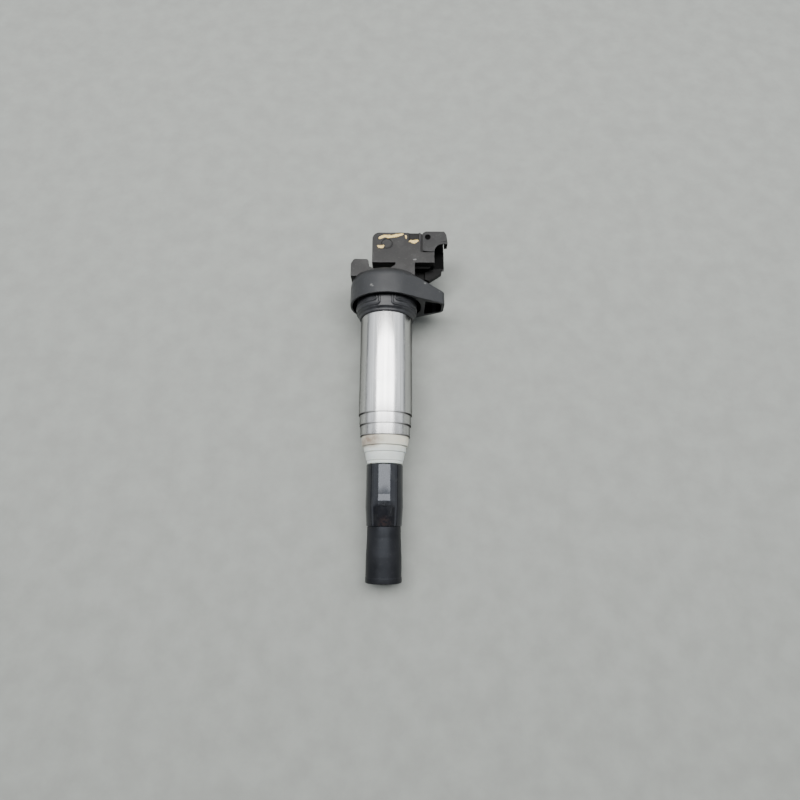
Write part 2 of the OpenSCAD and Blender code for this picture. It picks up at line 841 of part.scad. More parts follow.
head_housing();
lock_lever();
terminal_ground();
terminal_signal();
terminal_supply();
driver_cover();
driver_board();
driver_transistor();
driver_capacitor();
heat_spreader();
head_potting();
well_seal();
yoke_outer();
yoke_middle();
yoke_inner();
coil_case();
case_potting();
primary_bobbin();
primary_winding();
secondary_bobbin();
secondary_winding();
core_sleeve();
core_laminations();
upper_magnet();
lower_magnet();
core_pads();
hv_terminal();
resistor_body();
resistor_caps();
boot_sleeve();
plug_boot();
contact_spring();
contact_cap();
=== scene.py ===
"""Looks of a pencil-type ignition coil, lying on its side on a pale bench.

Metres throughout. The coil axis is +Y, from the boot's mouth at the origin to the head, and +Z is up.
"""

import math
import random

import bmesh
import bpy
import numpy as np
from mathutils import Matrix, Vector


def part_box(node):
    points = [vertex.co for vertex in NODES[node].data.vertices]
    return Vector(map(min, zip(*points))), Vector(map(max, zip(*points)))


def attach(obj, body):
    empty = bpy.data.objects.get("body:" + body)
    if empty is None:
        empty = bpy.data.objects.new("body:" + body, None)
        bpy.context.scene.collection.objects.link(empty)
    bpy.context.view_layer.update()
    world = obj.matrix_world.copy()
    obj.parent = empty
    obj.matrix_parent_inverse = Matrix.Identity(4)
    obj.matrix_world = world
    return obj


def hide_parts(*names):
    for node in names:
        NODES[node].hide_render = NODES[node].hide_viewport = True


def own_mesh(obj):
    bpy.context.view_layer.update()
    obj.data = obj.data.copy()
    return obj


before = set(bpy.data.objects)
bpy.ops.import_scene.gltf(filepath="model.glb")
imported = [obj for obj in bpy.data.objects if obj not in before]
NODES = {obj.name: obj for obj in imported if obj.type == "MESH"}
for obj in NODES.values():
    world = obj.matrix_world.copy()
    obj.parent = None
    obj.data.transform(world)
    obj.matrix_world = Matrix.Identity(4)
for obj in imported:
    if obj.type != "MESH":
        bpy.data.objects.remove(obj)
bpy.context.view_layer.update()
MM = 0.001


# ---------------------------------------------------------------- places, from the frame

def reach(node):
    """Outer radius of a round node about the coil axis, from its box."""
    low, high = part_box(node)
    return max(high[2], -low[2])


def low_y(node):
    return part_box(node)[0][1]


def high_y(node):
    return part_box(node)[1][1]


TUBE_R = reach("yoke_outer")
BOOT_TOP_Y = high_y("plug_boot")
DOME_Y = high_y("boot_sleeve")
TUBE_Y = low_y("yoke_inner")
SEAL_Y = low_y("well_seal")
SEAL_R = reach("well_seal")
HEAD_R = reach("head_housing")
HEAD_LOW, HEAD_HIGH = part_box("head_housing")
PLATE_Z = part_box("lock_lever")[1][2]
PIVOT = (20.4, 165.2, 0)
RING_START = (0, 0.36, 0.58, 0.88, 1)
RING_TOP = (1, 0.62, 0.38, 0.07)
RING_LOW = (0.88, 0.50, 0.14, 0)


# ---------------------------------------------------------------- camera, floor and lights

CAMERA_HEIGHT = 18.04 * TUBE_R
CAMERA_RIGHT = 0.5465 * TUBE_R
CAMERA_ALONG = 2.162 * TUBE_R
CAMERA_PITCH = math.radians(13.65)
CAMERA_ROLL = math.radians(0.295)
LENS_MM = 22.01
SENSOR_MM = 36.0


def add_camera():
    data = bpy.data.cameras.new("camera")
    data.lens = LENS_MM
    data.sensor_width = SENSOR_MM
    data.clip_start = 0.01
    camera = bpy.data.objects.new("camera", data)
    bpy.context.scene.collection.objects.link(camera)
    place = Matrix.Translation((CAMERA_RIGHT, CAMERA_ALONG, CAMERA_HEIGHT))
    pitch = Matrix.Rotation(CAMERA_PITCH, 4, "X")
    roll = Matrix.Rotation(CAMERA_ROLL, 4, "Z")
    camera.matrix_world = place @ pitch @ roll
    bpy.context.scene.camera = camera


def add_floor():
    """The bench: a plane that touches the boot's mouth and the head's skirt from below."""
    boot_r = reach("plug_boot")
    slope = math.atan2(HEAD_R - boot_r, HEAD_LOW[1])
    size = 3.0
    bpy.ops.mesh.primitive_plane_add(size=size, location=(0, 0, -boot_r), rotation=(-slope, 0, 0))
    floor = bpy.context.object
    floor.name = "floor"
    floor.data.materials.append(material_floor())


PANEL_HALF_W = 0.66
PANEL_START_Y = 0.112
NEAR_EDGE_Y = 0.076
PANEL_HEIGHT = 0.9
WING_HEIGHT = 1.0
WING_TINT = (0.94, 0.97, 1.0)
SKY_TINT = (0.88, 0.94, 1.0, 1)
SKY_STRENGTH = 0.20


def panel_light(name, across, along, height, radiance, tint):
    """A flat panel that shines straight down, from its X and Y ranges."""
    size = (across[1] - across[0], along[1] - along[0])
    data = bpy.data.lights.new(name, "AREA")
    data.shape = "RECTANGLE"
    data.size, data.size_y = size
    data.energy = radiance * math.pi * size[0] * size[1]
    data.color = tint
    light = bpy.data.objects.new(name, data)
    light.location = (sum(across) / 2, sum(along) / 2, height)
    bpy.context.scene.collection.objects.link(light)


def add_lights():
    """A soft overhead panel with a dimmer strip at its near edge, and two dim wings on each side."""
    wide = (-PANEL_HALF_W, PANEL_HALF_W)
    panel_light("overhead", wide, (PANEL_START_Y, 0.585), PANEL_HEIGHT, 9.4, (1.0, 0.995, 0.985))
    panel_light("overhead_near", wide, (NEAR_EDGE_Y, PANEL_START_Y), PANEL_HEIGHT, 4.0, (0.95, 0.98, 1.0))
    for side, name in ((-1, "left"), (1, "right")):
        inner = sorted((side * 0.70, side * 2.6))
        outer = sorted((side * 2.6, side * 10.0))
        panel_light("wing_" + name, inner, (NEAR_EDGE_Y, 2.2), WING_HEIGHT, 1.25, WING_TINT)
        panel_light("far_wing_" + name, outer, (-1.0, 4.0), WING_HEIGHT, 0.85, WING_TINT)
    world = bpy.data.worlds.new("world")
    bpy.context.scene.world = world
    world.use_nodes = True
    sky = world.node_tree.nodes["Background"]
    sky.inputs["Color"].default_value = SKY_TINT
    sky.inputs["Strength"].default_value = SKY_STRENGTH


# ---------------------------------------------------------------- materials

class Shade:
    """A node material with short calls for the nodes that it is made of."""

    def __init__(self, name, color, rough, metallic=0.0):
        self.material = bpy.data.materials.new(name)
        self.material.use_nodes = True
        self.tree = self.material.node_tree
        self.nodes = self.tree.nodes
        self.shader = self.nodes["Principled BSDF"]
        self.set("Base Color", (*color, 1))
        self.set("Roughness", rough)
        self.set("Metallic", metallic)
        self.place = self.nodes.new("ShaderNodeTexCoord").outputs["Object"]

    def set(self, socket, value):
        self.shader.inputs[socket].default_value = value

    def link(self, source, target):
        self.tree.links.new(source, target)

    def mapped(self, scale=(1, 1, 1), turn=(0, 0, 0)):
        node = self.nodes.new("ShaderNodeMapping")
        node.inputs["Scale"].default_value = scale
        node.inputs["Rotation"].default_value = turn
        self.link(self.place, node.inputs["Vector"])
        return node.outputs["Vector"]

    def noise(self, scale, detail=4.0, rough=0.55, place=None, stretch=0.0):
        node = self.nodes.new("ShaderNodeTexNoise")
        node.inputs["Scale"].default_value = scale
        node.inputs["Detail"].default_value = detail
        node.inputs["Roughness"].default_value = rough
        node.inputs["Distortion"].default_value = stretch
        self.link(place or self.place, node.inputs["Vector"])
        return node.outputs["Fac"]

    def ramp(self, source, *stops):
        """Maps a value to a value or a colour: stops are (place, value or colour)."""
        node = self.nodes.new("ShaderNodeValToRGB")
        ramp = node.color_ramp
        while len(ramp.elements) < len(stops):
            ramp.elements.new(0.5)
        for element, (at, value) in zip(ramp.elements, stops):
            element.position = at
            element.color = (*value, 1) if isinstance(value, tuple) else (value, value, value, 1)
        self.link(source, node.inputs["Fac"])
        return node.outputs["Color"]

    def math(self, kind, a, b):
        node = self.nodes.new("ShaderNodeMath")
        node.operation = kind
        node.use_clamp = True
        for socket, value in zip(node.inputs, (a, b)):
            if isinstance(value, (int, float)):
                socket.default_value = value
            else:
                self.link(value, socket)
        return node.outputs[0]

    def mix(self, share, a, b):
        """Colour between a and b. Each is a colour or a socket."""
        node = self.nodes.new("ShaderNodeMix")
        node.data_type = "RGBA"
        for socket, value in ((node.inputs[0], share), (node.inputs[6], a), (node.inputs[7], b)):
            if isinstance(value, (int, float)):
                socket.default_value = value
            elif isinstance(value, tuple):
                socket.default_value = (*value, 1)
            else:
                self.link(value, socket)
        return node.outputs[2]

    def bump(self, height, strength, distance):
        node = self.nodes.new("ShaderNodeBump")
        node.inputs["Strength"].default_value = strength
        node.inputs["Distance"].default_value = distance
        self.link(height, node.inputs["Height"])
        if self.shader.inputs["Normal"].is_linked:
            self.link(self.shader.inputs["Normal"].links[0].from_socket, node.inputs["Normal"])
        self.link(node.outputs["Normal"], self.shader.inputs["Normal"])

    def paint(self, socket, source):
        self.link(source, self.shader.inputs[socket])

    def edges(self, low, high):
        """Share of wear: 1 on sharp outer edges, 0 elsewhere."""
        geometry = self.nodes.new("ShaderNodeNewGeometry")
        return self.ramp(geometry.outputs["Pointiness"], (low, 0.0), (high, 1.0))

    def near(self, point, radius, place=None):
        """1 at a point and 0 from radius metres away."""
        node = self.nodes.new("ShaderNodeVectorMath")
        node.operation = "DISTANCE"
        self.link(place or self.place, node.inputs[0])
        node.inputs[1].default_value = point
        return self.ramp(self.math("DIVIDE", node.outputs["Value"], radius), (0.0, 1.0), (1.0, 0.0))

    def band(self, axis, at, width):
        """1 at a station along one axis of the frame and 0 from width metres away."""
        along = tuple(1.0 if a == axis else 0.0 for a in "XYZ")
        return self.near(tuple(at * a for a in along), width, self.mapped(along))

    def inside(self, low, high, fade=0.15 * MM):
        """1 inside a box between two corners in mm, and 0 outside it."""
        total = None
        for axis, a, b in zip("XYZ", low, high):
            width = (b - a) * MM
            share = fade / width
            nearness = self.band(axis, (a + b) / 2 * MM, width)
            edge = self.ramp(nearness, (0.5 - share, 0.0), (0.5 + share, 1.0))
            total = edge if total is None else self.math("MULTIPLY", total, edge)
        return total

    def scuff(self, point, radius, stretch=(1, 1, 1)):
        """Ragged patch round a point, squeezed by stretch."""
        patch = self.near(tuple(p * k for p, k in zip(point, stretch)), radius, self.mapped(stretch))
        ragged = self.noise(1100.0, 4.0, 0.7)
        return self.ramp(self.math("MULTIPLY", patch, ragged), (0.22, 0.0), (0.34, 1.0))


def material_floor():
    shade = Shade("floor", (0.29, 0.305, 0.29), 0.8)
    speckle = shade.noise(90.0, 6.0)
    tone = shade.ramp(speckle, (0.35, (0.27, 0.28, 0.262)), (0.65, (0.305, 0.318, 0.298)))
    shade.paint("Base Color", tone)
    return shade.material


# Scuffed places in mm, each with its radius in mm and how it is squeezed along X, Y and Z
SCUFFS = (
    ((-6.9, 133.0, 16.6), 1.3, (0.8, 1.3, 1.0)),
    ((-6.1, 132.3, 16.9), 0.9, (0.7, 1.4, 1.0)),
    ((25.4, 134.6, 6.0), 1.2, (1.0, 1.6, 1.0)),
    ((13.9, 152.6, 5.1), 1.5, (0.8, 1.8, 1.0)),
    ((13.4, 138.2, 11.8), 1.2, (0.8, 1.6, 1.0)),
    ((18.6, 137.0, 10.4), 1.3, (0.8, 1.6, 1.0)),
)
# The pivot pin's end, in mm, and its radius: painted nearly black as the shade of an open hole
PIN_HOLE_SHADE = (PIVOT, 1.55)
# Boxes of painted shade, nearly black, from two corners in mm, each with how black it is: the socket's
# inside, the gap under the socket, both parts of the ear's hollow, and a strip at the socket's upper rim
HEAD_SHADE_BOXES = (
    ((11.3, 151.5, -3.15), (29.2, 166.7, 3.15), 1.0),
    ((13.95, 143.0, -5.3), (28.2, 151.35, 1.4), 0.8),
    ((18.5, 129.1, -7.6), (23.0, 133.55, 7.6), 0.9),
    ((22.9, 129.1, -5.2), (27.3, 133.55, 5.2), 0.9),
    ((10.9, 163.4, 4.2), (16.1, 167.9, 4.8), 0.45),
)
# Box of painted shade on the lever, nearly black: its inside between the cheeks, from two corners in mm,
# with how black it is
LEVER_SHADE_BOXES = (((23.5, 157.0, -4.3), (30.2, 167.9, 4.3), 1.0),)
# Station along the axis of the head's round band, which is painted lighter and bluer as a sheen
SHEEN_BAND_Y = 133.8 * MM
# Inside radius of the skirt, and the box round the gap over the collar, which is painted nearly black as
# shade
SKIRT_IN_R = 17.1 * MM
SKIRT_GAP = ((-20, 129.1, -20), (20, 134.6, 20))


def material_head(name="head_plastic", base=(0.0165, 0.0158, 0.0155), dark=HEAD_SHADE_BOXES, skirt=False):
    """Glass-filled plastic: fine grain, scuffs and rubbed edges. Its hollows, the pivot pin's end and, with
    skirt, the gap under the skirt are painted nearly black as shade; a band round the head is painted
    lighter and bluer as a sheen.
    """
    shade = Shade(name, base, 0.5)
    lighter = tuple(c * 1.5 + 0.006 for c in base)
    darker = tuple(c * 0.7 for c in base)
    blotch = shade.noise(140.0, 5.0, 0.6)
    tone = shade.ramp(blotch, (0.3, darker), (0.5, base), (0.72, lighter))
    # Painted sheen: the round band is drawn lighter and bluer.
    painted_sheen = shade.ramp(shade.band("Y", SHEEN_BAND_Y, 12 * MM), (0.3, 0.0), (0.6, 0.55))
    tone = shade.mix(painted_sheen, tone, (0.040, 0.043, 0.048))
    dust = shade.ramp(shade.noise(900.0, 3.0, 0.7), (0.60, 0.0), (0.74, 0.4))
    tone = shade.mix(dust, tone, (0.085, 0.082, 0.078))
    worn = shade.edges(0.515, 0.60)
    rubbed = shade.math("MULTIPLY", worn, shade.ramp(blotch, (0.4, 0.1), (0.6, 0.8)))
    tone = shade.mix(rubbed, tone, (0.10, 0.10, 0.105))
    for point, radius, stretch in SCUFFS:
        mark = shade.scuff(tuple(c * MM for c in point), radius * MM, stretch)
        tone = shade.mix(mark, tone, (0.15, 0.15, 0.147))
    # Painted shade: the pin's end, the boxes and the gap under the skirt are drawn nearly black, with little
    # shine.
    point, radius = PIN_HOLE_SHADE
    pin = shade.near(tuple(c * MM for c in point), radius * MM, shade.mapped((1, 1, 0)))
    black = shade.ramp(pin, (0.0, 0.0), (0.10, 1.0))
    for low, high, strength in dark:
        black = shade.math("MAXIMUM", black, shade.math("MULTIPLY", shade.inside(low, high), strength))
    # Painted shade in the gap under the skirt, inside its inner radius.
    if skirt:
        round_in = shade.near((0, 0, 0), SKIRT_IN_R, shade.mapped((1, 0, 1)))
        under = shade.math("MULTIPLY", shade.ramp(round_in, (0.0, 0.0), (0.01, 1.0)),
                           shade.inside(*SKIRT_GAP))
        black = shade.math("MAXIMUM", black, under)
    shade.paint("Base Color", shade.mix(black, tone, (0.002, 0.002, 0.002)))
    shade.paint("Specular IOR Level", shade.ramp(black, (0.0, 0.34), (1.0, 0.03)))
    shade.paint("Roughness", shade.ramp(shade.noise(420.0, 4.0), (0.3, 0.38), (0.7, 0.54)))
    shade.bump(shade.noise(4200.0, 2.0), 0.25, 0.00006)
    shade.bump(shade.noise(260.0, 3.0), 0.12, 0.0002)
    return shade.material


def edge_dirt_and_shade(shade, stations):
    """Grime and painted shade in the step under each sheet's lower edge: thin on top, and thicker down both
    flanks as painted shade.
    """
    flank_shade = shade.ramp(shade.band("X", 0.0, TUBE_R), (0.10, 1.0), (0.62, 0.0))
    total = None
    for station in stations:
        thin = shade.ramp(shade.band("Y", station, 0.45 * MM), (0.1, 0.0), (0.7, 0.28))
        thick = shade.ramp(shade.band("Y", station, 0.8 * MM), (0.1, 0.0), (0.6, 0.85))
        both = shade.math("ADD", thin, shade.math("MULTIPLY", thick, flank_shade))
        total = both if total is None else shade.math("ADD", total, both)
    return total


def material_steel():
    """Rolled sheet: bright satin, drawn along its length, with grime and painted shade in the steps between
    sheets.
    """
    shade = Shade("sheet_steel", (0.60, 0.60, 0.59), 0.2, 1.0)
    fine = shade.noise(1.0, 3.0, 0.6, shade.mapped((5200.0, 60.0, 5200.0)))
    streak = shade.noise(1.0, 4.0, 0.65, shade.mapped((760.0, 9.0, 760.0)))
    haze = shade.noise(60.0, 4.0, 0.5)
    shade.set("Specular Tint", (0.2, 0.2, 0.2, 1.0))
    tone = shade.ramp(streak, (0.30, (0.57, 0.565, 0.56)), (0.70, (0.78, 0.78, 0.77)))
    stations = [low_y("yoke_outer"), low_y("yoke_middle"), low_y("yoke_inner")]
    # Grime and painted shade in the steps: darker, duller and rougher there.
    dirt_and_shade = edge_dirt_and_shade(shade, stations)
    shade.paint("Base Color", shade.mix(dirt_and_shade, tone, (0.030, 0.028, 0.026)))
    shade.paint("Metallic", shade.ramp(dirt_and_shade, (0.3, 1.0), (0.9, 0.2)))
    grain = shade.ramp(fine, (0.3, 0.13), (0.7, 0.23))
    smear = shade.ramp(haze, (0.35, 0.10), (0.65, 0.0))
    satin = shade.math("ADD", grain, smear)
    shade.paint("Roughness", shade.math("ADD", satin, shade.math("MULTIPLY", dirt_and_shade, 0.3)))
    shade.bump(streak, 0.10, 0.00004)
    shade.bump(fine, 0.08, 0.00002)
    return shade.material


# Stains on the dome: place in mm with Y from the tube's lower edge, radius in mm, strength
OIL_STAINS = (
    ((-6.8, -2.2, 8.6), 8.0, 1.6),
    ((-9.8, -3.2, 4.5), 5.5, 1.3),
    ((-5.5, -4.6, 8.4), 4.0, 0.9),
)


def material_dome():
    """Cream insulating plastic, warmer next to the steel and stained with oil there, with painted shade in
    its ring grooves and grime and painted shade under the steel's edge.
    """
    shade = Shade("dome_plastic", (0.74, 0.72, 0.64), 0.42)
    cloud = shade.noise(140.0, 5.0, 0.6)
    warm = shade.ramp(cloud, (0.3, (0.60, 0.58, 0.48)), (0.7, (0.74, 0.72, 0.60)))
    cool = shade.ramp(cloud, (0.3, (0.62, 0.66, 0.63)), (0.7, (0.74, 0.79, 0.76)))
    tone = shade.mix(shade.ramp(shade.band("Y", TUBE_Y, 11 * MM), (0.35, 0.0), (0.75, 1.0)), cool, warm)
    squeeze = (1.0, 2.2, 1.0)
    for place, radius, strength in OIL_STAINS:
        point = (place[0] * MM, (TUBE_Y + place[1] * MM) * squeeze[1], place[2] * MM)
        spot = shade.near(point, radius * MM, shade.mapped(squeeze))
        ragged = shade.ramp(shade.noise(300.0, 5.0, 0.7), (0.30, 0.35), (0.62, 1.0))
        spot = shade.math("MULTIPLY", spot, ragged)
        tone = shade.mix(shade.math("MULTIPLY", spot, strength), tone, (0.30, 0.235, 0.185))
    # Painted shade: a dark line in each groove between the rings.
    for share in RING_START[1:-1]:
        groove = shade.band("Y", TUBE_Y - share * (TUBE_Y - DOME_Y), 0.5 * MM)
        line = shade.ramp(groove, (0.2, 0.0), (1.0, 0.22))
        tone = shade.mix(line, tone, (0.34, 0.32, 0.27))
    # Grime and painted shade in the step under the steel's lower edge.
    rim = shade.ramp(shade.band("Y", TUBE_Y, 0.5 * MM), (0.2, 0.0), (0.8, 0.9))
    tone = shade.mix(rim, tone, (0.05, 0.045, 0.04))
    shade.paint("Base Color", tone)
    shade.paint("Roughness", shade.ramp(cloud, (0.3, 0.48), (0.7, 0.36)))
    shade.set("Subsurface Weight", 0.12)
    shade.set("Subsurface Radius", (0.9, 0.7, 0.45))
    shade.set("Subsurface Scale", 0.0010)
    shade.bump(shade.noise(1800.0, 2.0), 0.12, 0.00005)
    shade.bump(shade.noise(1.0, 3.0, 0.6, shade.mapped((260.0, 900.0, 260.0))), 0.20, 0.00012)
    return shade.material


def material_sleeve():
    """Polished black plastic with smudges, fine scratches and rust-coloured traces near the boot."""
    shade = Shade("sleeve_plastic", (0.010, 0.010, 0.012), 0.16)
    smudge = shade.noise(190.0, 4.0, 0.6, stretch=0.8)
    tone = shade.ramp(smudge, (0.4, (0.007, 0.007, 0.009)), (0.8, (0.018, 0.018, 0.018)))
    rust = shade.math("MULTIPLY", shade.near((0.3 * MM, BOOT_TOP_Y + 1.6 * MM, 8.2 * MM), 3.6 * MM),
                      shade.ramp(shade.noise(800.0, 4.0, 0.7), (0.42, 0.0), (0.62, 1.0)))
    shade.paint("Base Color", shade.mix(rust, tone, (0.034, 0.022, 0.020)))
    shade.set("Specular Tint", (0.86, 0.91, 1.0, 1.0))
    shade.set("Specular IOR Level", 0.46)
    shade.paint("Roughness", shade.ramp(smudge, (0.35, 0.07), (0.58, 0.10), (0.75, 0.20)))
    shade.bump(shade.noise(1.0, 2.0, 0.5, shade.mapped((700.0, 90.0, 700.0))), 0.06, 0.00008)
    shade.bump(shade.noise(90.0, 2.0), 0.10, 0.0004)
    return shade.material


def material_boot():
    """Moulded silicone: faint blue sheen, dust in the pores."""
    shade = Shade("boot_rubber", (0.010, 0.010, 0.012), 0.42)
    dust = shade.ramp(shade.noise(700.0, 4.0, 0.7), (0.58, 0.0), (0.80, 0.5))
    worn = shade.noise(130.0, 4.0)
    tone = shade.ramp(worn, (0.35, (0.006, 0.006, 0.007)), (0.7, (0.014, 0.014, 0.016)))
    shade.paint("Base Color", shade.mix(dust, tone, (0.040, 0.038, 0.036)))
    shade.paint("Roughness", shade.ramp(worn, (0.3, 0.34), (0.7, 0.50)))
    shade.set("Specular Tint", (0.80, 0.88, 1.0, 1.0))
    shade.set("Specular IOR Level", 0.23)
    shade.bump(shade.noise(3000.0, 2.0), 0.2, 0.00005)
    shade.bump(shade.noise(120.0, 2.0), 0.15, 0.0003)
    return shade.material


def material_seal():
    """Black rubber with oil sheen in places."""
    shade = Shade("seal_rubber", (0.022, 0.023, 0.027), 0.45)
    worn = shade.noise(230.0, 4.0, 0.6)
    shade.paint("Base Color", shade.ramp(worn, (0.35, (0.014, 0.0145, 0.017)), (0.7, (0.034, 0.035, 0.039))))
    shade.paint("Roughness", shade.ramp(worn, (0.3, 0.34), (0.7, 0.52)))
    shade.bump(shade.noise(2600.0, 2.0), 0.2, 0.00005)
    return shade.material


def material_paint():
    """Thick hand-brushed paint, chipped thin at its rim."""
    shade = Shade("cream_paint", (0.78, 0.62, 0.32), 0.40)
    streak = shade.noise(1.0, 3.0, 0.6, shade.mapped((900.0, 2600.0, 900.0), (0, 0, 0.6)))
    shade.paint("Base Color", shade.ramp(streak, (0.3, (0.58, 0.36, 0.09)), (0.6, (0.90, 0.70, 0.28))))
    shade.bump(streak, 0.4, 0.0001)
    return shade.material


def material_metal(name, dark, light, rough):
    """Plated or turned metal with fine tool marks."""
    shade = Shade(name, light, rough, 1.0)
    marks = shade.noise(1.0, 3.0, 0.6, shade.mapped((2600.0, 300.0, 2600.0)))
    shade.paint("Base Color", shade.ramp(marks, (0.3, dark), (0.7, light)))
    shade.paint("Roughness", shade.ramp(marks, (0.3, rough - 0.06), (0.7, rough + 0.1)))
    shade.bump(marks, 0.1, 0.00003)
    return shade.material


def material_inner(name, dark, light, rough, scale=600.0, metallic=0.0):
    """Mottled finish for pieces inside the coil."""
    shade = Shade(name, light, rough, metallic)
    mottle = shade.noise(scale, 4.0, 0.6)
    shade.paint("Base Color", shade.ramp(mottle, (0.35, dark), (0.68, light)))
    shade.paint("Roughness", shade.ramp(mottle, (0.3, rough), (0.7, min(rough + 0.15, 1.0))))
    shade.bump(mottle, 0.15, 0.00006)
    return shade.material


def material_winding():
    """Enamelled wire laid turn by turn along the coil axis."""
    shade = Shade("wire", (0.55, 0.22, 0.10), 0.30, 0.9)
    node = shade.nodes.new("ShaderNodeTexWave")
    node.bands_direction = "Y"
    node.inputs["Scale"].default_value = 700.0
    node.inputs["Distortion"].default_value = 0.2
    shade.link(shade.place, node.inputs["Vector"])
    turns = node.outputs["Fac"]
    shade.paint("Base Color", shade.ramp(turns, (0.1, (0.20, 0.06, 0.03)), (0.6, (0.62, 0.26, 0.12))))
    shade.bump(turns, 0.6, 0.0001)
    return shade.material


# ---------------------------------------------------------------- mesh tools

def new_object(name, mesh):
    piece = bpy.data.objects.new(name, mesh)
    bpy.context.scene.collection.objects.link(piece)
    return piece


def smooth_by_angle(piece, degrees=35):
    """Smooth shading, with edges sharper than the angle kept crisp."""
    mesh = piece.data
    mesh.shade_smooth()
    mesh.set_sharp_from_angle(angle=math.radians(degrees))


def finish_piece(piece, body, slot, material, *nodes):
    piece.data.materials.clear()
    piece.data.materials.append(material)
    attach(piece, body)
    if nodes:
        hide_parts(*nodes)
    return piece


def apply_modifiers(piece):
    bpy.context.view_layer.update()
    depsgraph = bpy.context.evaluated_depsgraph_get()
    mesh = bpy.data.meshes.new_from_object(piece.evaluated_get(depsgraph))
    piece.modifiers.clear()
    piece.data = mesh


def rounded(points, radius, steps=4):
    """A closed outline of (a, b) points with each corner rounded. A third value is that corner's radius."""
    result = []
    count = len(points)
    for i in range(count):
        corner = Vector(points[i][:2])
        r = points[i][2] if len(points[i]) > 2 else radius
        before = Vector(points[i - 1][:2]) - corner
        after = Vector(points[(i + 1) % count][:2]) - corner
        turn = before.angle(after)
        if r <= 0 or turn > math.radians(178):
            result.append(tuple(corner))
            continue
        cut = r / math.tan(turn / 2)
        cut = min(cut, 0.45 * before.length, 0.45 * after.length)
        start = corner + before.normalized() * cut
        end = corner + after.normalized() * cut
        for k in range(steps + 1):
            t = k / steps
            result.append(tuple((1 - t) ** 2 * start + 2 * t * (1 - t) * corner + t * t * end))
    return result


def lathe(name, outline, segments=160, gap=0.0):
    """Turned solid about the coil axis from a closed outline of (radius, y).

    A gap, in radians, leaves a slit below.
    """
    closed = gap == 0.0
    start = -math.pi / 2 + gap / 2
    turns = segments if closed else segments + 1
    mesh = bmesh.new()
    columns = []
    for i in range(turns):
        angle = start + (2 * math.pi - gap) * i / segments
        column = [mesh.verts.new((r * math.cos(angle), y, r * math.sin(angle))) for r, y in outline]
        columns.append(column)
    count = len(outline)
    for i in range(segments):
        left, right = columns[i], columns[(i + 1) % turns]
        for k in range(count):
            following = (k + 1) % count
            mesh.faces.new((left[k], left[following], right[following], right[k]))
    if not closed:
        mesh.faces.new(columns[0])
        mesh.faces.new(list(reversed(columns[-1])))
    bmesh.ops.remove_doubles(mesh, verts=mesh.verts, dist=1e-7)
    bmesh.ops.recalc_face_normals(mesh, faces=mesh.faces)
    data = bpy.data.meshes.new(name)
    mesh.to_mesh(data)
    mesh.free()
    piece = new_object(name, data)
    smooth_by_angle(piece)
    return piece


def cut_away(piece, cutter):
    modifier = piece.modifiers.new("cut", "BOOLEAN")
    modifier.operation = "DIFFERENCE"
    modifier.solver = "EXACT"
    modifier.object = cutter
    apply_modifiers(piece)
    bpy.data.objects.remove(cutter)


def prism(name, outline, low, high):
    """Closed outline in X and Y, pushed up along Z."""
    mesh = bmesh.new()
    verts = [mesh.verts.new((a, b, low)) for a, b in outline]
    push = Vector((0, 0, high - low))
    face = mesh.faces.new(verts)
    pushed = bmesh.ops.extrude_face_region(mesh, geom=[face])
    moved = [v for v in pushed["geom"] if isinstance(v, bmesh.types.BMVert)]
    bmesh.ops.translate(mesh, verts=moved, vec=push)
    bmesh.ops.recalc_face_normals(mesh, faces=mesh.faces)
    data = bpy.data.meshes.new(name)
    mesh.to_mesh(data)
    mesh.free()
    return new_object(name, data)


def remeshed(piece, voxel, smoothing):
    """Rounds every edge as moulding does: an even fine mesh, then smoothing."""
    modifier = piece.modifiers.new("even", "REMESH")
    modifier.mode = "VOXEL"
    modifier.voxel_size = voxel
    soften = piece.modifiers.new("soften", "SMOOTH")
    soften.factor = 0.5
    soften.iterations = smoothing
    apply_modifiers(piece)
    piece.data.shade_smooth()
    return piece


def copy_of(node, name):
    return new_object(name, NODES[node].data.copy())


# ---------------------------------------------------------------- the pieces

SHEET_T = 0.42 * MM
SLIT_W = 1.2 * MM
SHEET_EDGE_R = 0.10 * MM
SHEET_SEGMENTS = 224
DOME_TOP_R = 11.0 * MM
DOME_LOW_R = 8.1 * MM
CASE_R = 11.09 * MM
CASE_IN_R = 10.09 * MM
CASE_SPIGOT_R = 5.9 * MM
WIRE_BORE_R = 2.9 * MM
SLEEVE_SPIGOT_R = 5.8 * MM
SLEEVE_SOCKET_R = 5.95 * MM
SLEEVE_LOW_R = 8.0 * MM
SLEEVE_TOP_R = 8.4 * MM
SPRING_BORE_R = 3.4 * MM
PANEL_W, PANEL_LEN = 6.2 * MM, 4.6 * MM
PANEL_X = 0.4 * MM
PANEL_Z = 7.45 * MM
BOOT_TOP_R = 7.5 * MM
PLUG_BORE_R = 5.0 * MM
PLUG_BORE_LEN = 12 * MM
BOOT_SOCKET_R = 5.85 * MM
BOOT_SOCKET_LEN = 6.1 * MM
SEAL_IN_R = 12.95 * MM
SEAL_TOP_R = 14.87 * MM
FIT_GAP = 0.05 * MM


def build_sheets(steel):
    """The three rolled sheets, each slit along its lower side."""
    for node in ("yoke_outer", "yoke_middle", "yoke_inner"):
        r = reach(node)
        low, high = low_y(node), high_y(node)
        outline = [(r, low), (r, high), (r - SHEET_T, high), (r - SHEET_T, low)]
        piece = lathe(node + "_sheet", rounded(outline, SHEET_EDGE_R, 3), SHEET_SEGMENTS, SLIT_W / r)
        finish_piece(piece, "coil", "sheet_steel", steel, node)


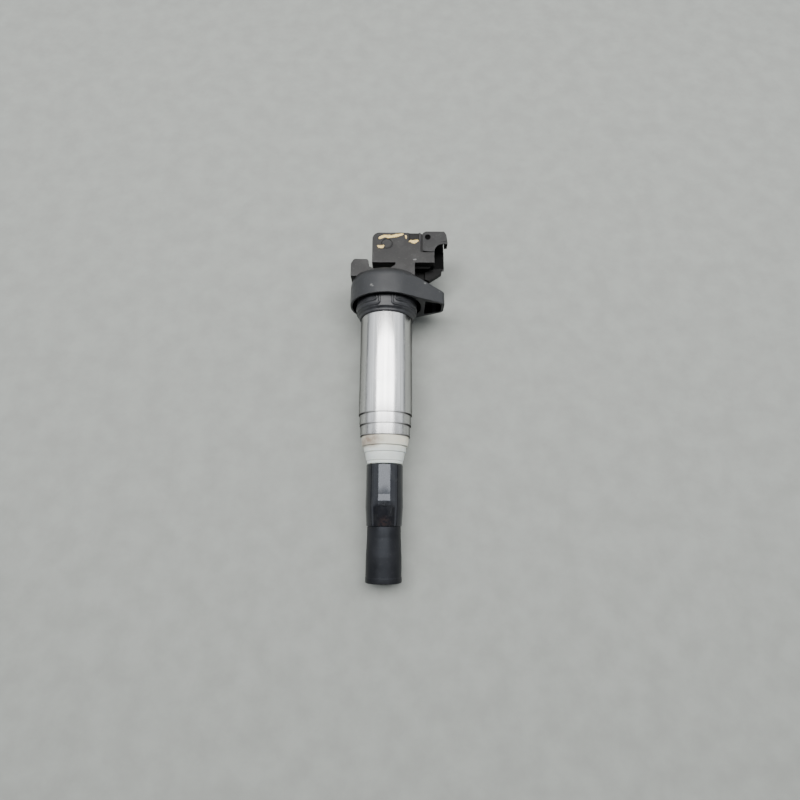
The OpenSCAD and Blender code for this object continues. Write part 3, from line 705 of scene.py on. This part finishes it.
def build_case(cream):
    """Insulating case with the stepped dome. Every ring has a rounded shoulder and a fine groove."""
    top_r, low_r = DOME_TOP_R, DOME_LOW_R
    length = TUBE_Y - DOME_Y
    r = min(reach("coil_case"), CASE_R)
    top, bottom = high_y("coil_case"), low_y("coil_case")
    outline = [(r, top, 0.2 * MM), (r, TUBE_Y, 0.05 * MM)]
    for i in range(len(RING_TOP)):
        start, end = TUBE_Y - RING_START[i] * length, TUBE_Y - RING_START[i + 1] * length
        upper = low_r + RING_TOP[i] * (top_r - low_r)
        lower = low_r + RING_LOW[i] * (top_r - low_r)
        outline.append((upper, start - 0.05 * MM, 0.25 * MM))
        outline.append((lower, end + 0.25 * MM, 0.45 * MM))
        if i < len(RING_TOP) - 1:
            outline.append((low_r + RING_TOP[i + 1] * (top_r - low_r) - 0.12 * MM, end, 0.08 * MM))
    outline += [
        (CASE_SPIGOT_R, DOME_Y, 0.1 * MM), (CASE_SPIGOT_R, bottom, 0.4 * MM),
        (WIRE_BORE_R, bottom, 0.1 * MM), (WIRE_BORE_R, TUBE_Y - 5 * MM, 0),
        (CASE_IN_R, TUBE_Y - 2 * MM, 0), (CASE_IN_R, top, 0.1 * MM)
    ]
    piece = lathe("insulating_case", rounded(outline, 0.1 * MM), 192)
    finish_piece(piece, "coil", "dome_plastic", cream, "coil_case")


def build_sleeve(gloss):
    """Glossy sleeve, widest in its middle, with a small flat panel on top."""
    low, high = low_y("boot_sleeve"), high_y("boot_sleeve")
    widest = reach("boot_sleeve")
    mid = BOOT_TOP_Y + 9.5 * MM
    outline = [
        (SLEEVE_SPIGOT_R, low, 0.3 * MM), (SLEEVE_SPIGOT_R, BOOT_TOP_Y, 0.1 * MM),
        (SLEEVE_LOW_R, BOOT_TOP_Y, 0.35 * MM), (8.1 * MM, BOOT_TOP_Y + 2.6 * MM, 3 * MM),
        (widest, mid - 1.4 * MM, 3 * MM), (widest, mid + 1.4 * MM, 3 * MM),
        (SLEEVE_TOP_R, mid + 4.2 * MM, 3 * MM), (SLEEVE_TOP_R, high, 0.5 * MM),
        (SLEEVE_SOCKET_R, high, 0.15 * MM), (SLEEVE_SOCKET_R, high - 8.1 * MM, 0),
        (WIRE_BORE_R, high - 8.1 * MM, 0), (WIRE_BORE_R, high - 13 * MM, 0),
        (SPRING_BORE_R, high - 13.2 * MM, 0), (SPRING_BORE_R, low, 0.2 * MM)
    ]
    piece = lathe("sleeve", rounded(outline, 0.1 * MM, 6), 192)
    near_y = mid - 5.4 * MM
    far_y = near_y + PANEL_LEN
    left, right = PANEL_X - PANEL_W / 2, PANEL_X + PANEL_W / 2
    corners = [(left, near_y), (right, near_y), (right, far_y), (left, far_y)]
    cutter = prism("panel_cutter", rounded(corners, 0.5 * MM), PANEL_Z, 10 * MM)
    cut_away(piece, cutter)
    smooth_by_angle(piece, 30)
    finish_piece(piece, "coil", "sleeve_plastic", gloss, "boot_sleeve")


def build_boot(rubber):
    """Rubber boot with a rolled mouth, a faint moulding ring and a lead-in to its bore."""
    high = high_y("plug_boot")
    mouth_r = reach("plug_boot")
    socket_y = high - BOOT_SOCKET_LEN
    outline = [
        (mouth_r, 0, 0.5 * MM), (mouth_r, 2.2 * MM, 0.2 * MM), (mouth_r - 0.15 * MM, 2.5 * MM, 0.2 * MM),
        (mouth_r - 0.1 * MM, 11 * MM, 4 * MM), (BOOT_TOP_R, 19 * MM, 4 * MM), (BOOT_TOP_R, high, 0.4 * MM),
        (BOOT_SOCKET_R, high, 0.1 * MM), (BOOT_SOCKET_R, socket_y, 0.1 * MM),
        (SPRING_BORE_R, socket_y, 0.1 * MM), (SPRING_BORE_R, PLUG_BORE_LEN, 0.4 * MM),
        (PLUG_BORE_R, PLUG_BORE_LEN, 0.2 * MM), (PLUG_BORE_R, 0, 0.9 * MM)
    ]
    piece = lathe("boot", rounded(outline, 0.1 * MM, 6), 160)
    finish_piece(piece, "coil", "boot_rubber", rubber, "plug_boot")


def collar_radius(y):
    """Outer radius of the seal's collar at a place along the axis."""
    places = [0, 0.5, 1.4, 2.2, 4.4, 6.6, 12.4]
    radii = [12.9, 13.2, 13.4, 14.2, 14.6, 14.9, 14.9]
    return float(np.interp((y - SEAL_Y) / MM, places, radii)) * MM


def build_seal(rubber):
    """Rubber collar. Two ribs run round each side, and their ends turn up under the skirt."""
    top = high_y("well_seal")
    steps = [0, 0.5, 1.4, 2.2, 3.3, 4.4, 5.5, 6.6]
    outline = [(collar_radius(SEAL_Y + s * MM) - 0.03 * MM, SEAL_Y + s * MM, 0.5 * MM) for s in steps]
    sheet_top = high_y("yoke_outer")
    outline += [
        (SEAL_TOP_R, top, 0.4 * MM), (SEAL_IN_R, top, 0.2 * MM), (SEAL_IN_R, sheet_top, 0.1 * MM),
        (TUBE_R + FIT_GAP, sheet_top, 0.1 * MM), (TUBE_R + FIT_GAP, SEAL_Y, 0.15 * MM)
    ]
    piece = lathe("well_collar", rounded(outline, 0.3 * MM), 192)
    for rib_y, opening in ((SEAL_Y + 3.2 * MM, 3.0 * MM), (SEAL_Y + 5.3 * MM, 4.4 * MM)):
        for side in (-1, 1):
            rib = seal_rib(rib_y, opening, side)
            join_mesh(piece, rib)
    remeshed(piece, 0.17 * MM, 2)
    finish_piece(piece, "coil", "seal_rubber", rubber, "well_seal")


def join_mesh(piece, other):
    """Adds other's mesh to piece, for a remesh that then fuses them."""
    mesh = bmesh.new()
    mesh.from_mesh(piece.data)
    mesh.from_mesh(other.data)
    mesh.to_mesh(piece.data)
    mesh.free()
    bpy.data.objects.remove(other)


def seal_rib(rib_y, opening, side):
    """A half-round bead on the collar: down from the skirt, round a bend, then round the side."""
    bend = 1.5 * MM
    bead = 0.5 * MM
    route = []
    first = opening / SEAL_R
    for k in range(4):
        route.append((first, rib_y + bend + (3 - k) * 0.9 * MM))
    for k in range(1, 6):
        a = math.pi / 2 * k / 5
        route.append((first + bend * (1 - math.cos(a)) / SEAL_R, rib_y + bend * (1 - math.sin(a))))
    last = math.pi - first
    steps = 60
    begin = route[-1][0]
    for k in range(1, steps):
        route.append((begin + (last - begin * 2 + first) * k / steps, rib_y))
    half = [(math.pi / 2 - side * a, y) for a, y in route]
    return sweep("rib", [surface_point(a, y, bead * 0.15) for a, y in half], bead)


def surface_point(angle, y, sink):
    r = collar_radius(y) - sink
    return Vector((r * math.cos(angle), y, r * math.sin(angle)))


def sweep(name, points, radius, sides=10):
    """Round bar along a list of points, with closed ends."""
    mesh = bmesh.new()
    rings = []
    for i, point in enumerate(points):
        ahead = points[min(i + 1, len(points) - 1)] - points[max(i - 1, 0)]
        ahead.normalize()
        across = ahead.cross(Vector((point.x, 0, point.z)).normalized()).normalized()
        up = across.cross(ahead).normalized()
        ring = []
        for k in range(sides):
            a = 2 * math.pi * k / sides
            ring.append(mesh.verts.new(point + radius * (math.cos(a) * across + math.sin(a) * up)))
        rings.append(ring)
    for left, right in zip(rings, rings[1:]):
        for k in range(sides):
            mesh.faces.new((left[k], left[(k + 1) % sides], right[(k + 1) % sides], right[k]))
    mesh.faces.new(list(reversed(rings[0])))
    mesh.faces.new(rings[-1])
    bmesh.ops.recalc_face_normals(mesh, faces=mesh.faces)
    data = bpy.data.meshes.new(name)
    mesh.to_mesh(data)
    mesh.free()
    return new_object(name, data)


def build_head(plastic):
    """The moulded head, with every edge rounded."""
    piece = copy_of("head_housing", "head")
    remeshed(piece, 0.2 * MM, 3)
    finish_piece(piece, "coil", "head_plastic", plastic, "head_housing")


def build_lever(plastic):
    """The lock lever, with every edge rounded. It turns on its own body."""
    piece = copy_of("lock_lever", "lever")
    remeshed(piece, 0.11 * MM, 2)
    finish_piece(piece, "lever", "lever_plastic", plastic, "lock_lever")


def build_cover(plastic):
    """The driver's cover, with every edge rounded."""
    piece = copy_of("driver_cover", "cover")
    remeshed(piece, 0.12 * MM, 2)
    finish_piece(piece, "coil", "head_plastic", plastic, "driver_cover")


def build_spring(steel):
    """Close-wound ends and an open middle. The real spring shortens as the cap is pushed in; this one is
    built at one length.
    """
    low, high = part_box("contact_spring")
    wire = 0.34 * MM
    r = high[0] - wire
    turns = 11
    steps = turns * 28
    points = []
    for i in range(steps + 1):
        t = i / steps
        closed = 0.5 - 0.5 * math.cos(math.pi * t)
        y = low[1] + wire + (high[1] - low[1] - 2 * wire) * (0.75 * t + 0.25 * closed)
        a = 2 * math.pi * turns * t
        points.append(Vector((r * math.cos(a), y, r * math.sin(a))))
    piece = sweep("coil_spring", points, wire, 10)
    smooth_by_angle(piece, 40)
    finish_piece(piece, "coil", "spring_steel", steel, "contact_spring")
    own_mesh(piece)


def brush_mark(name, spine, widths, z, seed):
    """A raised, ragged daub of paint on a flat face, from its middle line and the half widths along it."""
    rng = random.Random(seed)
    count, across = 34, 8
    thick = 0.14 * MM
    places = np.linspace(0, len(spine) - 1, count)
    xs = np.interp(places, range(len(spine)), [p[0] for p in spine])
    ys = np.interp(places, range(len(spine)), [p[1] for p in spine])
    halves = np.interp(places, range(len(spine)), widths)
    mesh = bmesh.new()
    rows = []
    for i in range(count):
        before, after = max(i - 1, 0), min(i + 1, count - 1)
        side = Vector((ys[before] - ys[after], xs[after] - xs[before])).normalized()
        reach_left, reach_right = (halves[i] * (1 + rng.uniform(-0.22, 0.22)) for _ in range(2))
        row = []
        for k in range(across + 1):
            t = 2 * k / across - 1
            height = thick * math.sqrt(max(1 - t * t, 0)) * rng.uniform(0.6, 1.2)
            spot = Vector((xs[i], ys[i])) + side * t * (reach_right if t > 0 else reach_left)
            row.append(mesh.verts.new((spot.x, spot.y, z + height)))
        rows.append(row)
    for upper, lower in zip(rows, rows[1:]):
        for k in range(across):
            mesh.faces.new((upper[k], upper[k + 1], lower[k + 1], lower[k]))
    base = bmesh.ops.extrude_edge_only(mesh, edges=[e for e in mesh.edges if e.is_boundary])
    for v in base["geom"]:
        if isinstance(v, bmesh.types.BMVert):
            v.co.z = z - 0.05 * MM
    bmesh.ops.holes_fill(mesh, edges=[e for e in mesh.edges if e.is_boundary], sides=0)
    bmesh.ops.recalc_face_normals(mesh, faces=mesh.faces)
    data = bpy.data.meshes.new(name)
    mesh.to_mesh(data)
    mesh.free()
    piece = new_object(name, data)
    piece.data.shade_smooth()
    return piece


def build_paint(paint):
    """Plain daubs of marking paint on the connector's upper face, placed from its top edge."""
    top = HEAD_HIGH[1]
    strokes = {
        "paint_stroke": ([(-4.3, -3.5), (-3.4, -2.9), (-1.6, -2.1), (0.6, -2.3),
                          (2.6, -2.2), (4.8, -1.7), (6.6, -1.2), (8.2, -0.8)],
                         [0.4, 0.75, 0.7, 0.95, 0.8, 0.85, 0.7, 0.25]),
        "paint_dab": ([(-4.9, -7.4), (-3.9, -8.0), (-2.6, -8.1), (-1.6, -7.2)], [0.3, 0.8, 0.85, 0.3]),
        "paint_spot": ([(10.9, -5.0), (12.0, -4.8), (13.4, -5.3), (15.0, -4.6), (15.8, -4.6)],
                       [0.25, 0.7, 1.0, 0.8, 0.2]),
        "paint_fleck": ([(9.2, -1.6), (9.5, -2.6), (9.6, -3.6)], [0.3, 0.45, 0.2]),
    }
    for seed, (name, (spine, widths)) in enumerate(strokes.items()):
        points = [(x * MM, top + y * MM) for x, y in spine]
        piece = brush_mark(name, points, [w * MM for w in widths], PLATE_Z, seed)
        finish_piece(piece, "coil", "head_plastic", paint)


def paint_inner_nodes():
    """Materials for the CAD nodes that stay as they are."""
    tin = material_metal("tin_plate", (0.55, 0.55, 0.53), (0.80, 0.80, 0.77), 0.28)
    brass = material_metal("turned_brass", (0.52, 0.38, 0.16), (0.78, 0.60, 0.30), 0.26)
    copper = material_metal("copper_sheet", (0.50, 0.22, 0.12), (0.76, 0.40, 0.26), 0.32)
    resin = material_inner("cast_resin", (0.035, 0.028, 0.022), (0.075, 0.062, 0.050), 0.35, 300.0)
    dark = material_inner("dark_bobbin", (0.06, 0.06, 0.06), (0.12, 0.12, 0.12), 0.45)
    cream = material_inner("cream_bobbin", (0.58, 0.54, 0.44), (0.76, 0.72, 0.62), 0.42)
    wire = material_winding()
    choices = {
        "terminal_ground": tin, "terminal_signal": tin, "terminal_supply": tin,
        "driver_board": material_inner("solder_resist", (0.02, 0.13, 0.06), (0.05, 0.24, 0.11), 0.30, 900.0),
        "driver_transistor": material_inner("chip", (0.015, 0.015, 0.015), (0.035, 0.035, 0.035),
                                            0.45, 1500.0),
        "driver_capacitor": material_inner("chip_ceramic", (0.40, 0.28, 0.18), (0.58, 0.44, 0.30),
                                           0.50, 1500.0),
        "heat_spreader": copper, "head_potting": resin, "case_potting": resin,
        "primary_bobbin": dark, "core_sleeve": dark, "secondary_bobbin": cream,
        "primary_winding": wire, "secondary_winding": wire,
        "core_laminations": material_metal("core_steel", (0.28, 0.29, 0.31), (0.46, 0.47, 0.49), 0.34),
        "upper_magnet": material_inner("magnet", (0.16, 0.16, 0.17), (0.28, 0.28, 0.30), 0.40, 900.0, 0.8),
        "core_pads": material_inner("pad_foam", (0.07, 0.04, 0.03), (0.15, 0.09, 0.07), 0.80, 1600.0),
        "hv_terminal": brass, "resistor_caps": brass, "contact_cap": brass,
        "resistor_body": material_inner("resistor_ceramic", (0.62, 0.60, 0.54), (0.80, 0.78, 0.72),
                                        0.55, 1200.0),
    }
    choices["lower_magnet"] = choices["upper_magnet"]
    for node, material in choices.items():
        mesh = NODES[node].data
        mesh.materials.clear()
        mesh.materials.append(material)


add_camera()
add_floor()
add_lights()
build_sheets(material_steel())
build_case(material_dome())
build_sleeve(material_sleeve())
build_boot(material_boot())
build_seal(material_seal())
head_plastic = material_head(skirt=True)
build_head(head_plastic)
build_cover(head_plastic)
build_lever(material_head("lever_plastic", (0.0155, 0.0155, 0.0158), LEVER_SHADE_BOXES))
build_spring(material_metal("spring_steel", (0.42, 0.42, 0.43), (0.66, 0.66, 0.67), 0.25))
build_paint(material_paint())
paint_inner_nodes()
